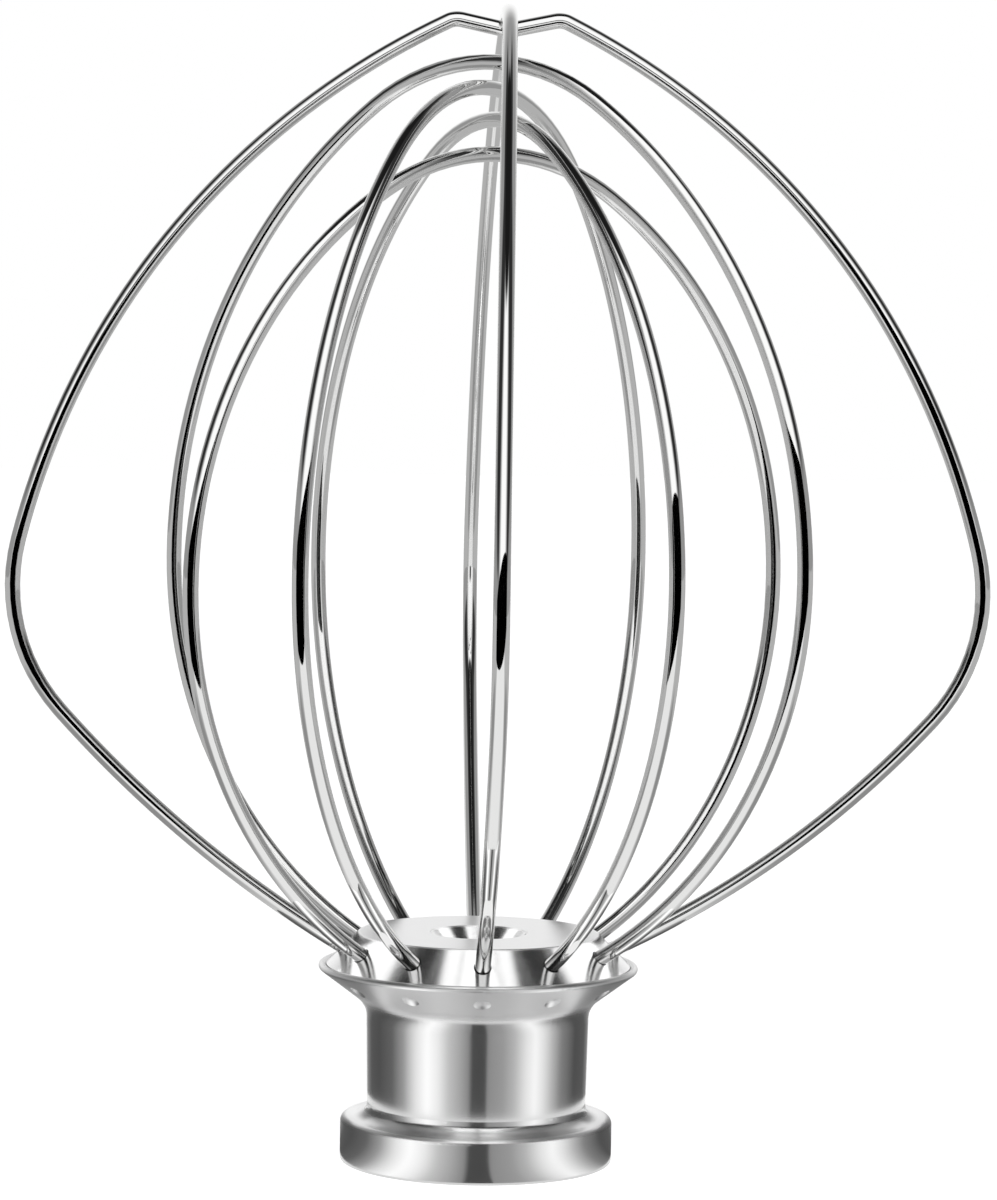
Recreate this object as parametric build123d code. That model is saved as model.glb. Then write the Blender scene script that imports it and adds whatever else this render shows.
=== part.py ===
"""Wire whisk of a stand mixer: a turned hub, a wire holder seated in its cup and six bent wire loops.

Millimetres. +Z runs from the hub's foot to the crown of the cage. The origin is the centre of the
shaft bore at the foot of the hub. The loop that dips at the crown lies over the X axis.
"""
from math import asin, atan2, cos, degrees, radians, sin, tan
from typing import NamedTuple
import os

from build123d import *

# Wire
wire_d = 2.2
wire_r = wire_d / 2
wire_hole_clearance = 0.12
wire_end_gap = 0.1
seat_circle_d = 38.6  # where the wires' axes pierce the holder's cone
seat_depth = 7.0

# Hub, outside
flange_d = 38.8
flange_h = 6.4
flange_edge_r = 0.9
foot_edge_r = 0.4
neck_low_d = 31.2
neck_high_d = 31.8
neck_foot_r = 1.8
flare_slope = 37.0  # degrees above the horizontal
flare_root_r = 3.7
rim_d = 45.5
rim_z = 27.8
cup_wall = 1.0
cup_floor_z = 24.0

# Hub, drive side
bore_d = 16.0
bore_chamfer = 0.5
pin_slot_w = 5.6
pin_slot_depth = 3.6
pin_slot_h = 12.5
pin_lock_turn = 65.0  # degrees from the entry slot to the pin's seat
pin_seat_drop = 2.0

# Stake marks that pinch the cup on the wire ends
stake_ball_r = 2.0
stake_depth = 0.45
stake_circle_d = 39.6

# Holder
plate_d = 34.2
plate_z = 32.7
holder_slope = 45.0  # degrees below the horizontal
holder_hole_d = 10.4
holder_mouth_d = 14.0  # the hole is countersunk at 45 degrees
holder_clearance = 0.1
plate_edge_r = 0.3

# Outer loops
outer_reach = 68.9
outer_belly_z = 81.6
outer_corner_r = 26.6
outer_corner_up = 13.8  # degrees of bend above the belly
outer_corner_low = 42.0  # degrees of bend below the belly
under_lean = 2.2
hump_half_gap = 7.2
hump_z = 162.0
hump_r = 3.0
dip_slope = 12.0
dip_r = 6.0
crossing_gap = 0.2
over_crown_r = 24.0


class Loop(NamedTuple):
    """A round loop: plane angle from +X, half width, heights, crown radius and sideways lean."""

    angle: float
    reach: float
    belly_z: float
    crown_z: float
    crown_r: float
    lean: float


# Inner loops, the highest first
inner_loops = {
    "inner_wire_1": Loop(angle=150, reach=50.8, belly_z=84.6, crown_z=156.1, crown_r=29.6, lean=1.2),
    "inner_wire_2": Loop(angle=60, reach=50.4, belly_z=85.1, crown_z=152.4, crown_r=38.0, lean=-0.8),
    "inner_wire_3": Loop(angle=120, reach=48.0, belly_z=84.4, crown_z=148.0, crown_r=28.6, lean=-0.3),
    "inner_wire_4": Loop(angle=30, reach=48.7, belly_z=82.6, crown_z=143.2, crown_r=34.4, lean=1.7),
}
wire_ends = 12

# Places that follow from the sizes above
bore_r = bore_d / 2
rim_r = rim_d / 2
plate_r = plate_d / 2
seat_r = seat_circle_d / 2
seat_z = plate_z - (seat_r - plate_r) * tan(radians(holder_slope))
flare_tan = tan(radians(flare_slope))
flare_normal = Vector(-sin(radians(flare_slope)), cos(radians(flare_slope)))
lip_centre = Vector(rim_r - cup_wall / 2, rim_z)
flare_outside = lip_centre - flare_normal * (cup_wall / 2)
flare_inside = lip_centre + flare_normal * (cup_wall / 2)


def polar(radius, angle):
    """Plane vector of a length and an angle in degrees."""
    return Vector(radius * cos(radians(angle)), radius * sin(radians(angle)))


def on_line(point, r):
    """Height at radius r of the flare line through a point."""
    return point.Y + (r - point.X) * flare_tan


def turned(face):
    """Solid of revolution of a face drawn with radius as X and height as Y."""
    return revolve(Plane.XZ * face, Axis.Z)


def near(vertices, r, z):
    """The vertex of a drawn profile closest to radius r and height z."""
    return vertices.sort_by_distance((r, z))[0]


def hub_profile():
    """Half section of the hub: flange, neck, flared cup with a rounded lip, cup floor and bore."""
    flare_root_z = on_line(flare_outside, neck_high_d / 2)
    floor_r = flare_inside.X - (flare_inside.Y - cup_floor_z) / flare_tan
    outside = Polyline(
        (bore_r, cup_floor_z),
        (bore_r, bore_chamfer),
        (bore_r + bore_chamfer, 0),
        (flange_d / 2, 0),
        (flange_d / 2, flange_h),
        (neck_low_d / 2, flange_h),
        (neck_high_d / 2, flare_root_z),
        flare_outside,
    )
    lip = ThreePointArc(flare_outside, lip_centre + polar(cup_wall / 2, flare_slope), flare_inside)
    inside = Polyline(flare_inside, (floor_r, cup_floor_z), (bore_r, cup_floor_z))
    face = make_face(outside + lip + inside)
    for r, z, radius in (
        (flange_d / 2, 0, foot_edge_r),
        (flange_d / 2, flange_h, flange_edge_r),
        (neck_low_d / 2, flange_h, neck_foot_r),
        (neck_high_d / 2, flare_root_z, flare_root_r),
    ):
        face = fillet(near(face.vertices(), r, z), radius)
    return face


def pin_slot():
    """Bayonet slot: entry along the bore, a turn to the lock angle and a seat back towards the foot."""
    slot_r = bore_r + pin_slot_depth
    up = (Align.MIN, Align.CENTER, Align.MIN)
    entry = Box(slot_r, pin_slot_w, pin_slot_h, align=up)
    seat_h = pin_slot_w + pin_seat_drop
    seat = Pos(0, 0, pin_slot_h - seat_h) * Box(slot_r, pin_slot_w, seat_h, align=up)
    half_width_turn = degrees(asin(pin_slot_w / 2 / slot_r))
    turn_angle = pin_lock_turn + 2 * half_width_turn
    turn = Cylinder(slot_r, pin_slot_w, arc_size=turn_angle, align=(Align.CENTER, Align.CENTER, Align.MIN))
    turn = Pos(0, 0, pin_slot_h - pin_slot_w) * Rot(0, 0, -half_width_turn) * turn
    return entry + turn + Rot(0, 0, pin_lock_turn) * seat


def stake_marks():
    """Shallow ball marks round the outside of the flare, one below each wire end."""
    mark = Vector(stake_circle_d / 2, on_line(flare_outside, stake_circle_d / 2))
    centre = mark - flare_normal * (stake_ball_r - stake_depth)
    return PolarLocations(0, wire_ends) * (Pos(centre.X, 0, centre.Y) * Sphere(stake_ball_r))


def hub():
    """Turned hub with its bayonet slot and stake marks."""
    return turned(hub_profile()) - pin_slot() - stake_marks()


def holder_profile():
    """Half section of the holder: plate, upper cone, lower cone along the cup and countersunk hole."""
    slack = holder_clearance / sin(radians(flare_slope))
    holder_cot = 1 / tan(radians(holder_slope))
    flare_cot = 1 / flare_tan
    cup_at_floor = flare_inside.X - (flare_inside.Y - cup_floor_z) * flare_cot - slack
    cones_apart = plate_r - cup_at_floor
    edge_z = (plate_z * holder_cot + cup_floor_z * flare_cot + cones_apart) / (holder_cot + flare_cot)
    edge_r = plate_r + (plate_z - edge_z) * holder_cot
    face = make_face(
        Polyline(
            (holder_hole_d / 2, cup_floor_z),
            (cup_at_floor, cup_floor_z),
            (edge_r, edge_z),
            (plate_r, plate_z),
            (holder_mouth_d / 2, plate_z),
            (holder_hole_d / 2, plate_z - (holder_mouth_d - holder_hole_d) / 2),
            close=True,
        )
    )
    return fillet(near(face.vertices(), plate_r, plate_z), plate_edge_r)


def wire_holes(path):
    """Blind holes for the two straight ends of a wire path."""
    length = wire_end_gap + 2 * seat_depth
    bit = Cylinder(wire_r + wire_hole_clearance, length, align=(Align.CENTER, Align.CENTER, Align.MIN))
    ends = ((path @ 0, path % 0), (path @ 1, -(path % 1)))
    return [Plane(tip - out * wire_end_gap, z_dir=out) * bit for tip, out in ends]


def rising_arcs(start, start_angle, apex, apex_r, apex_end):
    """Flank arc from a start point and the tangent arc over an apex, up to the polar angle apex_end."""
    apex_centre = Vector(apex.X, apex.Y - apex_r)
    to_start = polar(1, start_angle)
    across = start.X - apex_centre.X
    up = apex_centre.Y - start.Y
    flank_r = (across**2 + up**2 - apex_r**2) / (2 * (across * to_start.X - up * to_start.Y - apex_r))
    flank_centre = start - to_start * flank_r
    rise = apex_centre - flank_centre
    meet = degrees(atan2(rise.Y, rise.X))
    flank = CenterArc(flank_centre, flank_r, start_angle, meet - start_angle)
    return [flank, CenterArc(apex_centre, apex_r, meet, apex_end - meet)]


def falling_arcs(start, downwards, seat_x):
    """Lower arc from a start point to the holder's cone, and the straight end inside the holder."""
    seat = Vector(seat_x, seat_z)
    low = TangentArc(start, seat, tangent=downwards)
    return [low, Line(seat, seat + (low % 1) * seat_depth)]


def round_half(loop, seat_x):
    """Half of an inner loop, from the crown to the wire's end, with the loop's centre line at X = 0."""
    belly = Vector(loop.reach, loop.belly_z)
    rise = rising_arcs(belly, 0, Vector(0, loop.crown_z), loop.crown_r, 90)
    return rise[::-1] + falling_arcs(belly, Vector(0, -1), seat_x)


def outer_side(apex, apex_r, apex_end, seat_x):
    """Half of an outer loop: apex arc, flank, corner above and below the belly, lower arc and end."""
    corner_centre = Vector(outer_reach - outer_corner_r, outer_belly_z)
    above = CenterArc(corner_centre, outer_corner_r, 0, outer_corner_up)
    below = CenterArc(corner_centre, outer_corner_r, -outer_corner_low, outer_corner_low)
    rise = rising_arcs(above @ 1, outer_corner_up, apex, apex_r, apex_end)
    return rise[::-1] + [above, below] + falling_arcs(below @ 0, polar(1, -90 - outer_corner_low), seat_x)


def dip_arcs():
    """Half of the dip between the humps: arc at the bottom and straight run up to the hump."""
    hump_end = Vector(hump_half_gap, hump_z - hump_r) + polar(hump_r, 90 + dip_slope)
    foot_x = dip_r * sin(radians(dip_slope))
    foot = Vector(foot_x, hump_end.Y - (hump_end.X - foot_x) * tan(radians(dip_slope)))
    centre = foot + polar(dip_r, 90 + dip_slope)
    return [CenterArc(centre, dip_r, -90, dip_slope), Line(foot, hump_end)]


def under_half(seat_x):
    """Half of the outer loop that dips at the crown."""
    return dip_arcs() + outer_side(Vector(hump_half_gap, hump_z), hump_r, 90 + dip_slope, seat_x)


def over_crown_z():
    """Height of the outer loop that crosses over the dip."""
    return (dip_arcs()[0] @ 0).Y + wire_d + crossing_gap


def upright_plane(angle):
    """Plane through the hub's axis, at an angle from +X, with heights as its Y."""
    return Plane((0, 0, 0), x_dir=polar(1, angle), z_dir=polar(1, angle - 90))


def loop_path(half, angle, lean):
    """Whole path of a loop in its upright plane, from a function that draws one half."""
    right = [Pos(lean, 0) * edge for edge in half(seat_r - lean)]
    left = [Pos(lean, 0) * edge.mirror(Plane.YZ) for edge in half(seat_r + lean)]
    return upright_plane(angle) * Wire(left[::-1] + right)


def over_path():
    """Path of the loop over the Y axis.

    Below its bellies it is upright. Each flank is turned about the upright line at its belly, towards the
    other loop's dip, and the crown is the arc that meets both flanks, with its top over the dip.
    """
    apex = Vector(0, over_crown_z())
    _, flank, above, *below = outer_side(apex, over_crown_r, 90, seat_r)
    joint = flank @ 1
    rise = flank % 1
    reach_to_top = outer_reach - joint.X - (apex.Y - joint.Y) * rise.X / rise.Y
    turn = degrees(asin(under_lean / reach_to_top))
    belly_line = Axis((outer_reach, 0, 0), (0, 1, 0))
    right = [edge.rotate(belly_line, turn) for edge in (flank, above)] + below
    left = [edge.mirror(Plane.YZ) for edge in right]
    crown = TangentArc(right[0] @ 1, left[0] @ 1, tangent=right[0] % 1)
    return upright_plane(90) * Wire(left[::-1] + [crown] + right)


def wire_paths():
    """Node name and path of every wire."""
    paths = {"outer_wire_under": loop_path(under_half, 0, under_lean), "outer_wire_over": over_path()}
    for name, loop in inner_loops.items():
        paths[name] = loop_path(lambda seat_x, loop=loop: round_half(loop, seat_x), loop.angle, loop.lean)
    return paths


def main():
    os.makedirs("parts", exist_ok=True)
    paths = wire_paths()
    holes = [hole for path in paths.values() for hole in wire_holes(path)]
    nodes = {"hub": hub(), "wire_holder": turned(holder_profile()) - holes}
    for name, path in paths.items():
        nodes[name] = sweep((path ^ 0) * Circle(wire_r), path=path)
    for name, node in nodes.items():
        export_step(node, f"parts/{name}.step")


main()
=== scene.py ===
"""Wire whisk of a stand mixer: drawn steel wires, the finishes of hub and holder, and a small studio.

The file is laid out as an add-on and run as a script. Lengths are metres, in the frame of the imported
solids: +Z runs from the hub's foot to the crown of the cage, and the loop that dips at its crown lies
over the X axis.
"""

from math import asin, atan2, ceil, copysign, cos, degrees, hypot, radians, sin, tan
from typing import NamedTuple

import bmesh
import bpy
from bmesh.types import BMEdge, BMVert
from bpy.props import FloatProperty, FloatVectorProperty, IntProperty, PointerProperty
from mathutils import Euler, Matrix, Vector


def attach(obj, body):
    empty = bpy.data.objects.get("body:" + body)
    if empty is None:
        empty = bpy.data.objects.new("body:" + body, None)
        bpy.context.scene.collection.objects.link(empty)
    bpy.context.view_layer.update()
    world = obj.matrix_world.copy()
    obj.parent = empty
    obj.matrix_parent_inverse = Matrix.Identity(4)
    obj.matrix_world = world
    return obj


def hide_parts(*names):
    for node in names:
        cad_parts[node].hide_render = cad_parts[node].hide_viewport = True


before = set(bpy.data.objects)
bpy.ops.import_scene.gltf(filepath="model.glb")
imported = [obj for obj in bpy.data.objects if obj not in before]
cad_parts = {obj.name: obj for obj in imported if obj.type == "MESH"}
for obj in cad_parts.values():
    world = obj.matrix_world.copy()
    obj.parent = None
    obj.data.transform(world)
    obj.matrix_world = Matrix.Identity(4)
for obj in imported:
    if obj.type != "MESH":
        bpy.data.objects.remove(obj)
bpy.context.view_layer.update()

bl_info = {
    "name": "Mixer Whisk",
    "version": (1, 0, 0),
    "blender": (4, 5, 0),
    "location": "View3D > Sidebar > Whisk",
    "description": "Bends the wires of a mixer whisk and finishes its hub, holder and studio",
    "category": "Object",
}

mm = 0.001


class Bend(NamedTuple):
    """A round bend of the wire; a turn in degrees is positive towards the inside of the loop."""

    radius: float
    turn: float


class Run(NamedTuple):
    """A straight run of the wire."""

    length: float


class Aim(NamedTuple):
    """The wire turned about itself, so that the next bends go towards a direction."""

    across: float
    sideways: float
    up: float


class Loop(NamedTuple):
    """A round loop: plane angle from +X, half width, heights, crown radius and sideways lean."""

    angle: float
    reach: float
    belly_z: float
    crown_z: float
    crown_r: float
    lean: float


inner_loops = {
    "inner_wire_1": Loop(150, 50.8 * mm, 84.6 * mm, 156.1 * mm, 29.6 * mm, 1.2 * mm),
    "inner_wire_2": Loop(60, 50.4 * mm, 85.1 * mm, 152.4 * mm, 38.0 * mm, -0.8 * mm),
    "inner_wire_3": Loop(120, 48.0 * mm, 84.4 * mm, 148.0 * mm, 28.6 * mm, -0.3 * mm),
    "inner_wire_4": Loop(30, 48.7 * mm, 82.6 * mm, 143.2 * mm, 34.4 * mm, 1.7 * mm),
}

# Heights between which the finish changes from neck to flare, and from the holder's cone to its plate
flare_edge = (21.8 * mm, 23.2 * mm)
plate_edge = (32.4 * mm, 32.6 * mm)
# Heights of the ledge on the foot flange, and the softness of their ends
ledge_edges = (5.9 * mm, 7.2 * mm, 0.4 * mm)

# Stretch of the die lines along and across the wire, in cycles to the metre
die_line_scale = (25, 1800, 1800)
# A quarter turn of the grain, which lays the grooves round the axis
grain_turn = 0.25


class Panel(NamedTuple):
    """A patch of the studio round the object: its edges and their softness in degrees, and its brightness.

    Turn is the angle from the camera's side to the right, rise the angle above the floor.
    """

    turn_low: float
    turn_high: float
    turn_soft: float
    rise_low: float
    rise_high: float
    rise_soft: float
    tone: float


# Dark flags on the left and the right, dark ceiling, white front and the slit for the lens
studio_panels = (
    Panel(-106, -54, 16, 14, 80, 8, 0.03),
    Panel(54, 106, 16, 14, 80, 8, 0.03),
    Panel(-160, -90, 16, 52, 80, 8, 0.03),
    Panel(90, 160, 16, 52, 80, 8, 0.03),
    Panel(-200, 200, 10, 66, 100, 6, 0.012),
    Panel(-36, 40, 30, -30, 65, 5, 1.15),
    Panel(-14, 14, 8, -9, 8, 6, 0.1),
)
# How far a direction points backwards, from the edge of the wall behind to its full brightness
back_edge = (0.6, 0.97)


class Lamp(NamedTuple):
    """An area light for some of the solids: its middle, width, height and brightness."""

    nodes: tuple
    middle: tuple
    width: float
    height: float
    tone: float


turned_parts_lamps = {
    "strip_over_holder": Lamp(("hub", "wire_holder"), (0, -72 * mm, 300 * mm), 180 * mm, 200 * mm, 1.0),
    "lamp_on_the_left": Lamp(("wire_holder",), (-260 * mm, 140 * mm, 195 * mm), 300 * mm, 290 * mm, 0.75),
    "lamp_on_the_right": Lamp(("wire_holder",), (260 * mm, 140 * mm, 195 * mm), 300 * mm, 290 * mm, 0.75),
}

# Brightness of the sleeve round the hub, by the angle from the front to the right
sleeve_bands = (
    (-180, 1.00), (-150, 1.00), (-138, 0.30), (-122, 0.12), (-103, 0.10), (-82, 0.16), (-68, 0.42),
    (-55, 1.05), (-44, 1.40), (-34, 1.15), (-25, 0.72), (-15, 0.49), (-7.5, 0.30), (-6.5, 0.08),
    (6, 0.08), (7, 0.34), (20, 0.42), (30, 0.63), (40, 1.05), (49, 1.30), (57, 1.05),
    (67, 0.63), (78, 0.29), (99, 0.10), (122, 0.12), (138, 0.30), (150, 1.00), (180, 1.00),
)
ring_sides = 96


def length(name, description, default):
    """Property for a length in metres."""
    return FloatProperty(name=name, description=description, default=default, unit="LENGTH")


def angle(name, description, default):
    """Property for an angle, with its default in degrees."""
    return FloatProperty(name=name, description=description, default=radians(default), subtype="ANGLE")


def number(name, description, default):
    """Property for a plain number."""
    return FloatProperty(name=name, description=description, default=default)


def metal(name, description, default):
    """Property for the colour of bare metal."""
    return FloatVectorProperty(name=name, description=description, default=default, subtype="COLOR", size=3)


class WhiskWireSizes(bpy.types.PropertyGroup):
    """Sizes of the wire and of its seat in the holder."""

    wire_d: length("Wire", "Thickness of the drawn wire", 2.2 * mm)
    seat_d: length("Seat circle", "Circle where the wires enter the holder", 38.6 * mm)
    seat_z: length("Seat height", "Height of that circle", 30.5 * mm)
    seat_depth: length("Seat depth", "Straight end of the wire inside the holder", 7 * mm)
    sides: IntProperty(name="Sides", description="Faces round the wire", default=32, min=8)
    step: length("Step", "Longest face along a bend", 2.4 * mm)
    step_turn: angle("Step turn", "Largest turn of one face along a bend", 5)


class WhiskOuterLoops(bpy.types.PropertyGroup):
    """Shape of the two kite-shaped outer loops."""

    reach: length("Reach", "Half width at the belly", 68.9 * mm)
    belly_z: length("Belly", "Height of the widest place", 81.6 * mm)
    corner_r: length("Corner radius", "Bend at the belly", 26.6 * mm)
    corner_up: number("Corner above", "Bend above the belly, degrees", 13.8)
    corner_low: number("Corner below", "Bend below the belly, degrees", 42.0)
    lean: length("Lean", "Sideways shift of the crossing", 2.2 * mm)
    hump_half_gap: length("Hump", "Half distance of the humps", 7.2 * mm)
    hump_z: length("Hump height", "Height of the humps", 162.0 * mm)
    hump_r: length("Hump radius", "Bend over a hump", 3 * mm)
    dip_slope: number("Dip slope", "Fall from a hump to the dip, degrees", 12.0)
    dip_r: length("Dip radius", "Bend at the bottom of the dip", 6 * mm)
    crossing_gap: length("Gap", "Room between the crossed wires", 0.2 * mm)
    crown_r: length("Crown radius", "Crown of the upper loop", 24 * mm)


class WhiskFinish(bpy.types.PropertyGroup):
    """Colours, gloss and fine lines of the steel."""

    wire_colour: metal("Wire", "Polished drawn steel", (0.86, 0.86, 0.855))
    wire_roughness: number("Wire roughness", "Gloss of the wires", 0.03)
    die_line_roughness: number("Die lines", "Gloss lost in the die lines of the wires", 0.02)
    flare_colour: metal("Flare", "Satin steel of the hub's flare", (0.86, 0.86, 0.86))
    flare_roughness: number("Flare roughness", "Gloss of the hub's flare", 0.35)
    # Painted shade: neck and flange darkened to this share of the flare's colour
    hub_painted_shade: number("Hub shade", "Colour of neck and flange as a share of the flare's", 0.84)
    hub_roughness: number("Hub roughness", "Gloss of the turned hub", 0.14)
    hub_grain: number("Hub grain", "Stretch of the light across the hub's grooves", 0.6)
    ledge_roughness: number("Ledge roughness", "Gloss of the hub's ledge", 0.3)
    ledge_grain: number("Ledge grain", "Stretch of the light across the ledge's grooves", 0.9)
    groove_w: length("Groove", "Width of the hub's grooves", 0.25 * mm)
    groove_depth: length("Groove depth", "Depth of the hub's grooves", 0.01 * mm)
    groove_bump: number("Groove bump", "Share of that depth that is seen", 0.04)
    groove_roughness: number("Groove roughness", "Gloss lost in the grooves", 0.04)
    holder_colour: metal("Holder", "Polished steel of the holder", (0.87, 0.87, 0.87))
    holder_roughness: number("Holder roughness", "Gloss of the holder's cone", 0.14)
    plate_roughness: number("Plate roughness", "Gloss of the holder's top", 0.28)
    holder_line_w: length("Holder line", "Width of the holder's turning lines", 0.5 * mm)
    holder_line_roughness: number("Holder lines", "Gloss lost in those lines", 0.03)
    line_shade: number("Line shade", "Colour in the lines of wire and holder, as a share", 0.97)


class WhiskStudio(bpy.types.PropertyGroup):
    """Camera and studio."""

    distance: length("Distance", "Camera to the hub's axis", 596.3 * mm)
    height: length("Height", "Camera above the floor", 117.2 * mm)
    slide: length("Slide", "Camera to the right of the axis", 2.06 * mm)
    turn: angle("Turn", "Camera round the axis", 2.065)
    pitch: angle("Pitch", "Camera below the horizon", 3.552)
    roll: angle("Roll", "Camera about its own axis", 0.915)
    lens: number("Lens", "Focal length on a 36 mm frame", 126.3)
    tent_tone: number("Tent", "Brightness of the plain studio walls", 0.33)
    back_tone: number("Back wall", "Brightness of the wall behind", 1.0)
    floor_size: length("Floor size", "Half width of the floor", 3.0)
    floor_albedo: number("Floor", "Paleness of the floor", 0.8)
    floor_lift: number("Floor lift", "White added to the floor for the camera", 0.8)
    floor_gloss: number("Floor in steel", "Brightness of the floor in reflections", 0.5)
    # Painted pool of light on the floor in front, seen only in reflections
    floor_painted_pool: number("Floor pool", "Brightness of the floor in front, in reflections", 0.92)
    # Painted shade on the floor at the sides, seen only in reflections
    floor_side_shade: number("Floor cloths", "Brightness of the floor at the sides, in reflections", 0.3)


class Tone:
    """A value socket of a node tree; an expression on it adds Math nodes."""

    def __init__(self, graph, socket):
        self.graph = graph
        self.socket = socket

    def math(self, operation, *values):
        return self.graph.value("ShaderNodeMath", {"operation": operation}, dict(enumerate(values)))

    def __add__(self, other):
        return self.math("ADD", self, other)

    def __sub__(self, other):
        return self.math("SUBTRACT", self, other)

    def __mul__(self, other):
        return self.math("MULTIPLY", self, other)

    def __rsub__(self, other):
        return self.math("SUBTRACT", other, self)

    __radd__ = __add__
    __rmul__ = __mul__


class Graph:
    """The nodes of a material or world."""

    def __init__(self, owner):
        owner.use_nodes = True
        self.owner = owner
        self.tree = owner.node_tree
        self.tree.nodes.clear()

    def node(self, kind, settings=None, sockets=None):
        """A new node: settings first, a ramp's stops among them, then the values or links of its sockets."""
        node = self.tree.nodes.new(kind)
        for name, setting in (settings or {}).items():
            if name == "stops":
                set_stops(node.color_ramp, setting)
            else:
                setattr(node, name, setting)
        for key, value in (sockets or {}).items():
            if isinstance(value, Tone):
                self.tree.links.new(value.socket, node.inputs[key])
            else:
                node.inputs[key].default_value = value
        return node

    def value(self, kind, settings=None, sockets=None, output=0):
        """An output of a new node, ready for use in an expression."""
        return Tone(self, self.node(kind, settings, sockets).outputs[output])

    def place(self, output="Object"):
        """The X, Y and Z of a texture coordinate."""
        where = self.value("ShaderNodeTexCoord", {}, output=output)
        split = self.node("ShaderNodeSeparateXYZ", {}, {"Vector": where})
        return [Tone(self, socket) for socket in split.outputs]

    def from_axis(self, x, y):
        """Distance from the upright axis."""
        across = self.value("ShaderNodeCombineXYZ", {}, {0: x, 1: y})
        return self.value("ShaderNodeVectorMath", {"operation": "LENGTH"}, {0: across}, output="Value")

    def smooth(self, value, low, high):
        """0 below low, 1 above high and a smooth step between."""
        sockets = {"Value": value, "From Min": low, "From Max": high}
        return self.value("ShaderNodeMapRange", {"interpolation_type": "SMOOTHSTEP"}, sockets)

    def window(self, value, low, high, soft):
        """1 between low and high, with soft edges, and 0 outside."""
        inside = self.smooth(value, low - soft / 2, low + soft / 2)
        beyond = self.smooth(value, high - soft / 2, high + soft / 2)
        return inside * (1 - beyond)

    def mix(self, factor, first, second):
        """One number in the other's place, by a factor."""
        return first + (second - first) * factor

    def noise(self, vector, detail):
        """Noise from 0 to 1."""
        return self.value("ShaderNodeTexNoise", {}, {"Vector": vector, "Scale": 1.0, "Detail": detail})

    def surface(self, shader):
        self.node("ShaderNodeOutputMaterial", {}, {"Surface": shader})


def set_stops(ramp, stops):
    """Gives a colour ramp its (place, grey) stops."""
    while len(ramp.elements) < len(stops):
        ramp.elements.new(1.0)
    for element, (place, grey) in zip(ramp.elements, stops):
        element.position = place
        element.color = (grey, grey, grey, 1)


def polar(radius, turn):
    """Plane vector (across, up) of a length and an angle in degrees."""
    return Vector((radius * cos(radians(turn)), radius * sin(radians(turn))))


def flank_bends(start, start_angle, apex, apex_r, apex_end):
    """The bend over an apex, from the polar angle apex_end, and the flank from it down to a start point."""
    apex_centre = apex - Vector((0, apex_r))
    to_start = polar(1, start_angle)
    across = start.x - apex_centre.x
    up = apex_centre.y - start.y
    flank_r = (across**2 + up**2 - apex_r**2) / (2 * (across * to_start.x - up * to_start.y - apex_r))
    rise = apex_centre - (start - to_start * flank_r)
    meet = degrees(atan2(rise.y, rise.x))
    return [Bend(apex_r, apex_end - meet), Bend(flank_r, meet - start_angle)]


def seat_bends(wire, start, heading, seat_x):
    """The lower bend from a start point and heading to the holder, and the straight end in it."""
    chord = Vector((seat_x, wire.seat_z)) - start
    half_turn = (heading - degrees(atan2(chord.y, chord.x)) + 180) % 360 - 180
    return [Bend(chord.length / (2 * sin(radians(half_turn))), 2 * half_turn), Run(wire.seat_depth)]


def inner_half(wire, loop, seat_x):
    """Half of an inner loop, from its crown to the wire's end."""
    belly = Vector((loop.reach, loop.belly_z))
    crown = Vector((0, loop.crown_z))
    return flank_bends(belly, 0, crown, loop.crown_r, 90) + seat_bends(wire, belly, -90, seat_x)


def outer_side(wire, outer, apex, apex_r, apex_end, seat_x):
    """Half of an outer loop from its apex: flank, corner above and below the belly, lower bend and end."""
    corner_centre = Vector((outer.reach - outer.corner_r, outer.belly_z))
    top = corner_centre + polar(outer.corner_r, outer.corner_up)
    bottom = corner_centre + polar(outer.corner_r, -outer.corner_low)
    corner = [Bend(outer.corner_r, outer.corner_up), Bend(outer.corner_r, outer.corner_low)]
    flank = flank_bends(top, outer.corner_up, apex, apex_r, apex_end)
    return flank + corner + seat_bends(wire, bottom, -90 - outer.corner_low, seat_x)


def dip_foot(outer):
    """Height of the bottom of the dip, and the straight run from its bend to the hump."""
    hump_centre = Vector((outer.hump_half_gap, outer.hump_z - outer.hump_r))
    hump_end = hump_centre + polar(outer.hump_r, 90 + outer.dip_slope)
    foot_x = outer.dip_r * sin(radians(outer.dip_slope))
    foot_z = hump_end.y - (hump_end.x - foot_x) * tan(radians(outer.dip_slope))
    bottom_z = foot_z - outer.dip_r * (1 - cos(radians(outer.dip_slope)))
    return bottom_z, Run(hypot(hump_end.x - foot_x, hump_end.y - foot_z))


def under_half(wire, outer, seat_x):
    """Half of the outer loop that dips at its crown."""
    hump = Vector((outer.hump_half_gap, outer.hump_z))
    dip = [Bend(outer.dip_r, -outer.dip_slope), dip_foot(outer)[1]]
    return dip + outer_side(wire, outer, hump, outer.hump_r, 90 + outer.dip_slope, seat_x)


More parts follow.
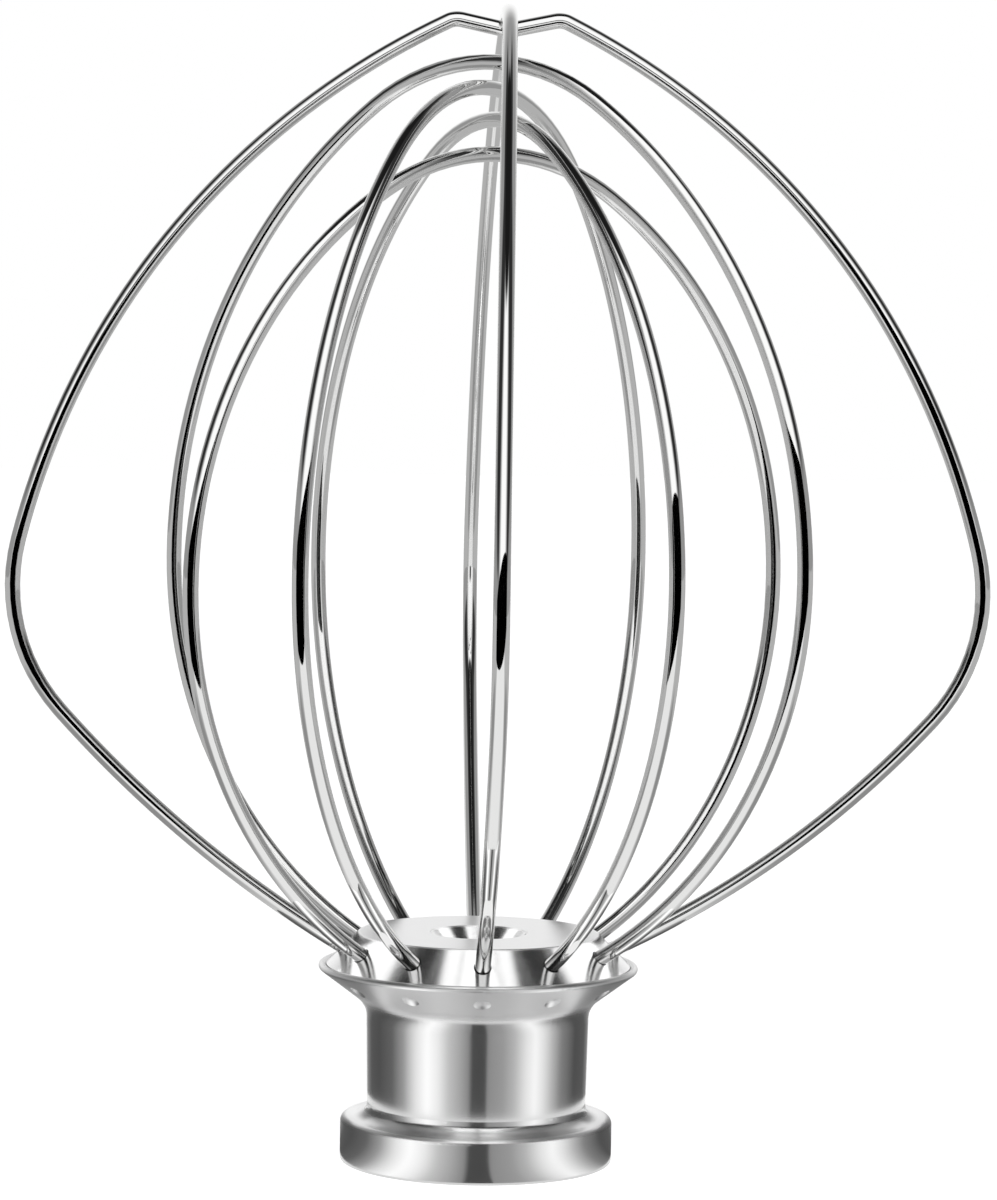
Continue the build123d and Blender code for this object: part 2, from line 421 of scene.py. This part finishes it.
def over_half(wire, outer):
    """Top point and half of the outer loop that crosses over.

    It is upright below its belly. Above, the flank swings sideways about the belly towards the other
    loop's dip, and the crown leans with it.
    """
    crown_z = dip_foot(outer)[0] + wire.wire_d + outer.crossing_gap
    upright = outer_side(wire, outer, Vector((0, crown_z)), outer.crown_r, 90, wire.seat_d / 2)
    crown, flank, above, *below = upright
    slope = radians(crown.turn)
    joint = Vector((outer.crown_r * sin(slope), crown_z - outer.crown_r * (1 - cos(slope))))
    swing = asin(outer.lean / (outer.reach - joint.x + (crown_z - joint.y) / tan(slope)))
    rise = Vector((cos(swing) * cos(slope), sin(swing) * cos(slope), sin(slope)))
    crown_up = Vector((0, rise.y, rise.z)).normalized()
    crown_slope = atan2(hypot(rise.y, rise.z), rise.x)
    from_belly = outer.reach - joint.x
    crown_r = (outer.reach - from_belly * cos(swing)) / sin(crown_slope)
    top = Vector((0, from_belly * sin(swing), joint.y)) + crown_up * crown_r * (1 - cos(crown_slope))
    leaning = [Aim(0, -crown_up.y, -crown_up.z), Bend(crown_r, degrees(crown_slope))]
    return top, leaning + [Aim(0, 0, -1), flank, above, Aim(-1, 0, 0)] + below


def only(kind, geometry):
    """The vertices or the edges of what a bmesh operator made."""
    return [item for item in geometry if isinstance(item, kind)]


def sweep(bm, layer, ring, start, moves, side, wire):
    """Carries a ring of edges along the moves, to the right for side 1 and to the left for side -1."""
    place = start.copy()
    forward = Vector((side, 0, 0))
    inward = Vector((0, 0, -1))
    along = 0.0
    for move in moves:
        if isinstance(move, Aim):
            aim = Vector((side * move.across, move.sideways, move.up))
            inward = (aim - forward * aim.dot(forward)).normalized()
            continue
        straight = isinstance(move, Run)
        turn = 0 if straight else radians(move.turn)
        way = move.length if straight else abs(move.radius * turn)
        steps = max(ceil(way / wire.step), ceil(abs(turn) / wire.step_turn))
        axis = forward.cross(inward)
        centre = place if straight else place + inward * copysign(move.radius, turn)
        for _ in range(steps):
            if straight:
                made = bmesh.ops.extrude_edge_only(bm, edges=ring)["geom"]
            else:
                bent = bmesh.ops.spin(
                    bm, geom=ring, cent=centre, axis=axis, angle=turn / steps, steps=1, use_duplicate=False
                )
                made = bent["geom_last"]
            ends = only(BMVert, made)
            ring = only(BMEdge, made)
            if straight:
                bmesh.ops.translate(bm, verts=ends, vec=forward * way / steps)
            along += way / steps
            for vert in ends:
                vert[layer].x = side * along
        turned = Matrix.Rotation(turn, 3, axis)
        place = centre + turned @ (place - centre) + (forward * way if straight else Vector())
        forward = turned @ forward
        inward = turned @ inward
    return ring


def bent_wire(name, halves, start, placing):
    """A wire bent from its crown down both halves and placed by a matrix, for the solid of that name."""
    wire = bpy.context.scene.whisk_wires
    bm = bmesh.new()
    layer = bm.verts.layers.float_vector.new("straight")
    across = Matrix.Translation(start) @ Matrix.Rotation(radians(90), 4, "Y")
    circle = bmesh.ops.create_circle(bm, segments=wire.sides, radius=wire.wire_d / 2, matrix=across)
    for vert in circle["verts"]:
        vert[layer] = vert.co - start
    ring = list(bm.edges)
    for side, moves in zip((1, -1), halves):
        end = sweep(bm, layer, ring, start, moves, side, wire)
        bmesh.ops.edgeloop_fill(bm, edges=end)
        for edge in end:
            edge.smooth = False
    bmesh.ops.transform(bm, matrix=placing, verts=bm.verts)
    bmesh.ops.recalc_face_normals(bm, faces=bm.faces)
    for face in bm.faces:
        face.smooth = True
    piece = mesh_object(f"{name}_drawn", bm, wire_steel())
    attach(piece, "root")
    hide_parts(name)


def mesh_object(name, bm, finish):
    """An object from a bmesh, with one material."""
    mesh = bpy.data.meshes.new(name)
    bm.to_mesh(mesh)
    bm.free()
    mesh.materials.append(finish)
    piece = bpy.data.objects.new(name, mesh)
    bpy.context.scene.collection.objects.link(piece)
    return piece


def material(name):
    """A material of that name, made once."""
    return bpy.data.materials.get(name) or bpy.data.materials.new(name)


def steel(graph, colour, roughness, **sockets):
    """Bare metal; the sockets are those of the Principled shader."""
    sockets = {"Base Color": colour, "Metallic": 1.0, "Roughness": roughness, **sockets}
    return graph.value("ShaderNodeBsdfPrincipled", {}, sockets)


def shaded(graph, factor, colour, shade):
    """A colour that darkens to a share of itself where the factor is 1."""
    dark = (*(channel * shade for channel in colour), 1)
    sockets = {0: factor, 6: (*colour, 1), 7: dark}
    return graph.value("ShaderNodeMix", {"data_type": "RGBA"}, sockets, output=2)


def wire_steel():
    """Polished drawn steel, with faint die lines along the wire."""
    finish = bpy.context.scene.whisk_finish
    graph = Graph(material("drawn_wire_steel"))
    straight = graph.value("ShaderNodeAttribute", {"attribute_name": "straight"}, output="Vector")
    stretched = graph.value("ShaderNodeMapping", {}, {"Vector": straight, "Scale": die_line_scale})
    lines = graph.noise(stretched, 3.0)
    colour = shaded(graph, lines, finish.wire_colour, finish.line_shade)
    roughness = finish.wire_roughness + lines * finish.die_line_roughness
    graph.surface(steel(graph, colour, roughness))
    return graph.owner


def turning_lines(graph, width):
    """Fine lines round the hub's axis, on upright and on flat faces."""
    x, y, z = graph.place()
    radius = graph.from_axis(x, y)
    section = graph.value("ShaderNodeCombineXYZ", {}, {0: radius * (1 / width), 1: z * (1 / width)})
    return graph.noise(section, 2.0)


def hub_steel():
    """Turned steel: grooves round the axis stretch the light, most on the ledge; the flare is satin. Neck and
    flange carry painted shade, a darker share of the flare's colour.
    """
    finish = bpy.context.scene.whisk_finish
    graph = Graph(material("turned_hub_steel"))
    grooves = turning_lines(graph, finish.groove_w)
    height = graph.place()[2]
    flare = graph.smooth(height, *flare_edge)
    ledge = graph.window(height, *ledge_edges)
    depth = {"Strength": finish.groove_bump, "Distance": finish.groove_depth, "Height": grooves * (1 - ledge)}
    grain = {"Normal": graph.value("ShaderNodeBump", {}, depth), "Anisotropic Rotation": grain_turn}
    # Painted shade on neck and flange, against the lighter flare
    colour = shaded(graph, 1 - flare, finish.flare_colour, finish.hub_painted_shade)
    roughness = graph.mix(flare, finish.hub_roughness, finish.flare_roughness)
    roughness = roughness + grooves * finish.groove_roughness
    side_face = steel(graph, colour, roughness, Anisotropic=finish.hub_grain, **grain)
    # The ledge keeps the flare's full colour, without the painted shade
    pale = (*finish.flare_colour, 1)
    ledge_face = steel(graph, pale, finish.ledge_roughness, Anisotropic=finish.ledge_grain, **grain)
    graph.surface(graph.value("ShaderNodeMixShader", {}, {0: ledge, 1: side_face, 2: ledge_face}))
    return graph.owner


def holder_steel():
    """Polished steel with faint turning lines; the plate on top is satin."""
    finish = bpy.context.scene.whisk_finish
    graph = Graph(material("polished_holder_steel"))
    lines = turning_lines(graph, finish.holder_line_w)
    plate = graph.smooth(graph.place()[2], *plate_edge)
    colour = shaded(graph, lines, finish.holder_colour, finish.line_shade)
    roughness = graph.mix(plate, finish.holder_roughness, finish.plate_roughness)
    graph.surface(steel(graph, colour, roughness + lines * finish.holder_line_roughness))
    return graph.owner


def studio_world():
    """White for the camera; for the steel, a grey tent with a white back and the panels in it."""
    studio = bpy.context.scene.whisk_studio
    world = bpy.data.worlds.new("studio_tent")
    bpy.context.scene.world = world
    graph = Graph(world)
    x, y, z = graph.place("Generated")
    turn = x.math("ARCTAN2", x, 0 - y) * degrees(1)
    rise = z.math("ARCSINE", z) * degrees(1)
    tone = graph.mix(graph.smooth(y, *back_edge), studio.tent_tone, studio.back_tone)
    for panel in studio_panels:
        inside = graph.window(turn, panel.turn_low, panel.turn_high, panel.turn_soft)
        inside = inside * graph.window(rise, panel.rise_low, panel.rise_high, panel.rise_soft)
        tone = graph.mix(inside, tone, panel.tone)
    camera = graph.value("ShaderNodeLightPath", {}, output="Is Camera Ray")
    sockets = {"Color": (1, 1, 1, 1), "Strength": graph.mix(camera, tone, 1.0)}
    background = graph.value("ShaderNodeBackground", {}, sockets)
    graph.node("ShaderNodeOutputWorld", {}, {"Surface": background})


def floor_in_steel(graph, x, y):
    """Brightness of the floor in reflections: a painted pool of light that fans out to the front, and painted
    shade on each side.
    """
    studio = bpy.context.scene.whisk_studio
    fan_start, fan_slope = 25 * mm, 0.65
    pool_side, pool_back = (25 * mm, 65 * mm), (50 * mm, 110 * mm)
    shade_sides, shade_ends = (65 * mm, 190 * mm, 40 * mm), (-90 * mm, 60 * mm, 60 * mm)
    aside = x.math("ABSOLUTE", x)
    fan = aside - y.math("MAXIMUM", 0 - y - fan_start, 0) * fan_slope
    # Painted pool of light in front, and painted shade at the sides
    pool = (1 - graph.smooth(fan, *pool_side)) * (1 - graph.smooth(y, *pool_back))
    side_shade = graph.window(aside, *shade_sides) * graph.window(y, *shade_ends)
    seen = graph.mix(side_shade, studio.floor_gloss, studio.floor_side_shade)
    return graph.mix(pool, seen, studio.floor_painted_pool)


def pale_floor():
    """Pale floor under the hub's foot: white for the camera, with the whisk's soft shadow."""
    studio = bpy.context.scene.whisk_studio
    under_foot = (12 * mm, 16 * mm)
    graph = Graph(material("pale_floor"))
    plain = graph.value("ShaderNodeBsdfDiffuse", {}, {"Color": (studio.floor_albedo,) * 3 + (1,)})
    x, y, _ = graph.place()
    path = graph.node("ShaderNodeLightPath")
    camera = Tone(graph, path.outputs["Is Camera Ray"])
    glossy = Tone(graph, path.outputs["Is Glossy Ray"])
    open_floor = graph.smooth(graph.from_axis(x, y), *under_foot)
    lift = camera * open_floor * studio.floor_lift
    lifted = graph.value("ShaderNodeEmission", {}, {"Strength": lift})
    shadowed = graph.value("ShaderNodeAddShader", {}, {0: plain, 1: lifted})
    # In reflections the floor glows: an even grey, a painted pool of light and painted shade
    in_steel = graph.value("ShaderNodeEmission", {}, {"Strength": floor_in_steel(graph, x, y)})
    graph.surface(graph.value("ShaderNodeMixShader", {}, {0: glossy, 1: shadowed, 2: in_steel}))
    bm = bmesh.new()
    bmesh.ops.create_grid(bm, x_segments=1, y_segments=1, size=studio.floor_size)
    mesh_object("pale_floor", bm, graph.owner)


def reflected_card(name, bm, graph, tone, reach=1.0):
    """A stage card that is seen only in reflections within its reach, glowing in front and clear behind."""
    glow = graph.value("ShaderNodeEmission", {}, {"Strength": tone})
    clear = graph.value("ShaderNodeBsdfTransparent")
    behind = graph.value("ShaderNodeNewGeometry", {}, output="Backfacing")
    way = graph.value("ShaderNodeLightPath", {}, output="Ray Length")
    hidden = behind.math("MAXIMUM", behind, way.math("GREATER_THAN", way, reach))
    graph.surface(graph.value("ShaderNodeMixShader", {}, {0: hidden, 1: glow, 2: clear}))
    card = mesh_object(name, bm, graph.owner)
    card.visible_camera = False
    card.visible_diffuse = False
    card.visible_shadow = False
    card.visible_transmission = False


def flat_ring(bm, inner_r, outer_r, height):
    """A flat ring round the axis; gives its outer edges."""
    at_height = Matrix.Translation((0, 0, height))
    bmesh.ops.create_circle(bm, segments=ring_sides, radius=inner_r, matrix=at_height)
    made = bmesh.ops.extrude_edge_only(bm, edges=bm.edges[:])["geom"]
    grown = outer_r / inner_r
    bmesh.ops.scale(bm, verts=only(BMVert, made), vec=(grown, grown, 1))
    return only(BMEdge, made)


def hub_sleeve():
    """Short banded sleeve round the hub, open at the top, seen only in the hub's reflections."""
    inner_r, outer_r, wall_h, floor_gap = 20.5 * mm, 38 * mm, 20 * mm, 0.1 * mm
    graph = Graph(material("hub_sleeve"))
    x, y, _ = graph.place()
    turn = x.math("ARCTAN2", x, 0 - y) * (1 / radians(360)) + 0.5
    brightest = max(tone for _, tone in sleeve_bands)
    stops = [((turned + 180) / 360, tone / brightest) for turned, tone in sleeve_bands]
    bands = graph.value("ShaderNodeValToRGB", {"stops": stops}, {"Fac": turn})
    bm = bmesh.new()
    corner = flat_ring(bm, inner_r, outer_r, floor_gap)
    wall = bmesh.ops.extrude_edge_only(bm, edges=corner)["geom"]
    bmesh.ops.translate(bm, verts=only(BMVert, wall), vec=(0, 0, wall_h))
    bmesh.ops.recalc_face_normals(bm, faces=bm.faces)
    bmesh.ops.reverse_faces(bm, faces=bm.faces)
    reflected_card("hub_sleeve", bm, graph, bands * brightest)


def front_flag():
    """Dark card in front of the cage, which draws the black lines on the wires' bellies."""
    width, height, turn, reach = 320 * mm, 75 * mm, radians(7), 198 * mm
    middle = (0, -130 * mm, 81 * mm)
    bm = bmesh.new()
    bmesh.ops.create_grid(bm, x_segments=1, y_segments=1, size=0.5)
    bmesh.ops.scale(bm, vec=(width, height, 1), verts=bm.verts)
    bmesh.ops.rotate(bm, matrix=Matrix.Rotation(turn, 3, "Z"), verts=bm.verts)
    upright = Matrix.Translation(middle) @ Matrix.Rotation(radians(90), 4, "X")
    bmesh.ops.transform(bm, matrix=upright, verts=bm.verts)
    bmesh.ops.reverse_faces(bm, faces=bm.faces)
    reflected_card("front_flag", bm, Graph(material("front_flag")), 0.0, reach)


def white_collar():
    """White card round the hub at the height of its ledge, which brightens the flare from below."""
    inner_r, outer_r, height = 19.8 * mm, 24.5 * mm, 6.6 * mm
    bm = bmesh.new()
    flat_ring(bm, inner_r, outer_r, height)
    bmesh.ops.recalc_face_normals(bm, faces=bm.faces)
    if any(face.normal.z < 0 for face in bm.faces):
        bmesh.ops.reverse_faces(bm, faces=bm.faces)
    reflected_card("white_collar", bm, Graph(material("white_collar")), 1.0)


def turned_parts_lights():
    """Strip over the holder for holder and hub, and a lamp on each side for the holder alone."""
    holder = Vector((0, 0, bpy.context.scene.whisk_wires.seat_z))
    for name, lamp in turned_parts_lamps.items():
        light = bpy.data.lights.new(name, "AREA")
        light.shape = "RECTANGLE"
        light.size = lamp.width
        light.size_y = lamp.height
        light.energy = 4 * lamp.width * lamp.height * lamp.tone
        away = (Vector(lamp.middle) - holder).to_track_quat("Z", "Y")
        card = bpy.data.objects.new(name, light)
        card.matrix_world = Matrix.Translation(lamp.middle) @ away.to_matrix().to_4x4()
        card.visible_camera = False
        bpy.context.scene.collection.objects.link(card)
        lit = bpy.data.collections.new(name)
        for node in lamp.nodes:
            lit.objects.link(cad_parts[node])
        card.light_linking.receiver_collection = lit


def photo_camera():
    """Camera at the photograph's viewing angle."""
    studio = bpy.context.scene.whisk_studio
    data = bpy.data.cameras.new("photo_camera")
    data.lens = studio.lens
    camera = bpy.data.objects.new("photo_camera", data)
    bpy.context.scene.collection.objects.link(camera)
    about = Matrix.Rotation(-studio.turn, 4, "Z")
    stand = Vector((studio.slide, -studio.distance, studio.height))
    look = Euler((radians(90) - studio.pitch, 0, 0)).to_matrix().to_4x4()
    camera.matrix_world = about @ Matrix.Translation(stand) @ look @ Matrix.Rotation(studio.roll, 4, "Z")
    bpy.context.scene.camera = camera


class WHISK_OT_inner_wires(bpy.types.Operator):
    """Bends the four inner loops."""

    bl_idname = "whisk.inner_wires"
    bl_label = "Inner Wires"

    def execute(self, context):
        wire = context.scene.whisk_wires
        seat_r = wire.seat_d / 2
        for name, loop in inner_loops.items():
            halves = [inner_half(wire, loop, seat_r - side * loop.lean) for side in (1, -1)]
            placing = Matrix.Rotation(radians(loop.angle), 4, "Z") @ Matrix.Translation((loop.lean, 0, 0))
            bent_wire(name, halves, Vector((0, 0, loop.crown_z)), placing)
        return {"FINISHED"}


class WHISK_OT_outer_wires(bpy.types.Operator):
    """Bends the two outer loops that cross at the crown."""

    bl_idname = "whisk.outer_wires"
    bl_label = "Outer Wires"

    def execute(self, context):
        wire = context.scene.whisk_wires
        outer = context.scene.whisk_outer
        seat_r = wire.seat_d / 2
        under = [under_half(wire, outer, seat_r - side * outer.lean) for side in (1, -1)]
        dip = Vector((0, 0, dip_foot(outer)[0]))
        bent_wire("outer_wire_under", under, dip, Matrix.Translation((outer.lean, 0, 0)))
        top, half = over_half(wire, outer)
        bent_wire("outer_wire_over", [half, half], top, Matrix.Rotation(radians(-90), 4, "Z"))
        return {"FINISHED"}


class WHISK_OT_hub(bpy.types.Operator):
    """Finishes the turned hub."""

    bl_idname = "whisk.hub"
    bl_label = "Hub"

    def execute(self, context):
        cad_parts["hub"].material_slots[0].material = hub_steel()
        return {"FINISHED"}


class WHISK_OT_holder(bpy.types.Operator):
    """Finishes the wire holder."""

    bl_idname = "whisk.holder"
    bl_label = "Wire Holder"

    def execute(self, context):
        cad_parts["wire_holder"].material_slots[0].material = holder_steel()
        return {"FINISHED"}


class WHISK_OT_stage(bpy.types.Operator):
    """Sets the floor, the studio and the camera."""

    bl_idname = "whisk.stage"
    bl_label = "Stage"

    def execute(self, context):
        context.scene.view_settings.view_transform = "Standard"
        pale_floor()
        hub_sleeve()
        front_flag()
        white_collar()
        turned_parts_lights()
        studio_world()
        photo_camera()
        return {"FINISHED"}


class WHISK_PT_panel(bpy.types.Panel):
    """Lists the whisk's pieces."""

    bl_label = "Mixer Whisk"
    bl_idname = "WHISK_PT_panel"
    bl_space_type = "VIEW_3D"
    bl_region_type = "UI"
    bl_category = "Whisk"

    def draw(self, context):
        for operator in operators:
            self.layout.operator(operator.bl_idname)


groups = {
    "whisk_wires": WhiskWireSizes,
    "whisk_outer": WhiskOuterLoops,
    "whisk_finish": WhiskFinish,
    "whisk_studio": WhiskStudio,
}
operators = (WHISK_OT_outer_wires, WHISK_OT_inner_wires, WHISK_OT_holder, WHISK_OT_hub, WHISK_OT_stage)


def register():
    for cls in (*groups.values(), *operators, WHISK_PT_panel):
        bpy.utils.register_class(cls)
    for name, group in groups.items():
        setattr(bpy.types.Scene, name, PointerProperty(type=group))


def unregister():
    for name in groups:
        delattr(bpy.types.Scene, name)
    for cls in (WHISK_PT_panel, *operators, *groups.values()):
        bpy.utils.unregister_class(cls)


def main():
    register()
    bpy.ops.whisk.outer_wires()
    bpy.ops.whisk.inner_wires()
    bpy.ops.whisk.holder()
    bpy.ops.whisk.hub()
    bpy.ops.whisk.stage()


if __name__ == "__main__":
    main()
